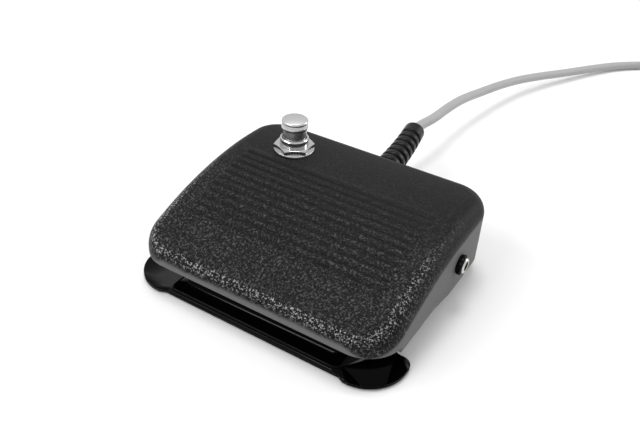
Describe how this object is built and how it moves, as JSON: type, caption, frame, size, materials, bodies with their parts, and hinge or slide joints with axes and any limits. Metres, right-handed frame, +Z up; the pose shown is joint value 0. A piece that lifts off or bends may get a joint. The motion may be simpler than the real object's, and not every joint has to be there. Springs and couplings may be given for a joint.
{
  "type": "foot switch",
  "caption": "Low foot switch: a ribbed rocking cover over a steel plate, with a chrome push button, a side socket and a lead.",
  "frame": {"origin": "on the floor, under the middle of the plate's plan outline", "axes": "+X to the user's right (side socket), +Y to the rear where the lead leaves, +Z up"},
  "size_m": [0.2125, 0.3536, 0.0465],
  "materials": {
    "cover": "black, sparkling cast grain on the top, smooth satin skirt",
    "gloss_black_steel": "gloss black enamel",
    "rubber": "matt black",
    "relief_rubber": "satin black moulded rubber",
    "nylon": "natural white",
    "zinc_steel": "bright zinc",
    "spring_steel": "plain wire",
    "nickel": "nickel plate",
    "chrome": "bright chrome plate",
    "brass": "tinned brass",
    "switch_black": "black moulding",
    "switch_red": "red moulding",
    "gloss_black_plastic": "black moulding",
    "lead_grey": "matt grey sheath"
  },
  "bodies": {
    "base": {"base_plate": "gloss_black_steel", "foot_front_left": "rubber", "foot_front_right": "rubber", "foot_rear_left": "rubber", "foot_rear_right": "rubber", "rest_pad_left": "rubber", "rest_pad_right": "rubber", "buffer_left": "rubber", "buffer_right": "rubber", "strain_relief": "relief_rubber", "lead_tail": "lead_grey", "lead": "lead_grey", "lead_coil": "lead_grey", "lead_end": "lead_grey", "plug_grip": "gloss_black_plastic", "plug_pin": "nickel", "hinge_bush_left": "nylon", "hinge_bush_right": "nylon", "spring_seat_left": "nylon", "spring_seat_right": "nylon", "return_spring_left": "spring_steel", "return_spring_right": "spring_steel", "switch_case": "switch_black", "switch_terminals": "brass", "switch_bracket": "zinc_steel", "bracket_screws": "zinc_steel", "switch_screws": "zinc_steel", "switch_nuts": "zinc_steel"},
    "cover": {"cover_shell": "cover", "hinge_pin_left": "zinc_steel", "hinge_pin_right": "zinc_steel", "pin_ring_left": "spring_steel", "pin_ring_right": "spring_steel", "button_spring": "spring_steel", "button_bushing": "chrome", "button_washer": "chrome", "button_nut": "chrome", "button_lock_nut": "zinc_steel", "button_can": "switch_black", "button_lugs": "brass", "socket_barrel": "nickel", "socket_nut": "gloss_black_plastic", "socket_housing": "switch_black", "socket_lugs": "brass"},
    "button": {"button_cap": "chrome"},
    "lever": {"switch_lever": "nickel"},
    "plunger": {"switch_plunger": "switch_red"}
  },
  "joints": [
    {"name": "cover_hinge", "type": "hinge", "parent": "base", "child": "cover", "pos_m": [0, 0.033, 0.012], "axis": [1, 0, 0], "range_deg": [0, 4], "stiffness_Nm_per_rad": 8, "springref_deg": -3.44, "deforming": ["return_spring_left", "return_spring_right"]},
    {"name": "button_press", "type": "slide", "parent": "cover", "child": "button", "axis": [0, 0, -1], "range_m": [0, 0.003], "stiffness_N_per_m": 600, "springref_m": -0.003, "deforming": ["button_spring"]},
    {"name": "lever_swing", "type": "hinge", "parent": "base", "child": "lever", "pos_m": [0.01115, 0.0112, 0.0216], "axis": [1, 0, 0], "range_deg": [0, 8.6]},
    {"name": "plunger_slide", "type": "slide", "parent": "base", "child": "plunger", "axis": [0, 0, -1], "range_m": [0, 0.00105]}
  ],
  "couplings": [
    {"joint": "lever_swing", "follows": "cover_hinge", "ratio": 2.1474},
    {"joint": "plunger_slide", "follows": "cover_hinge", "m_per_rad": 0.015032}
  ]
}
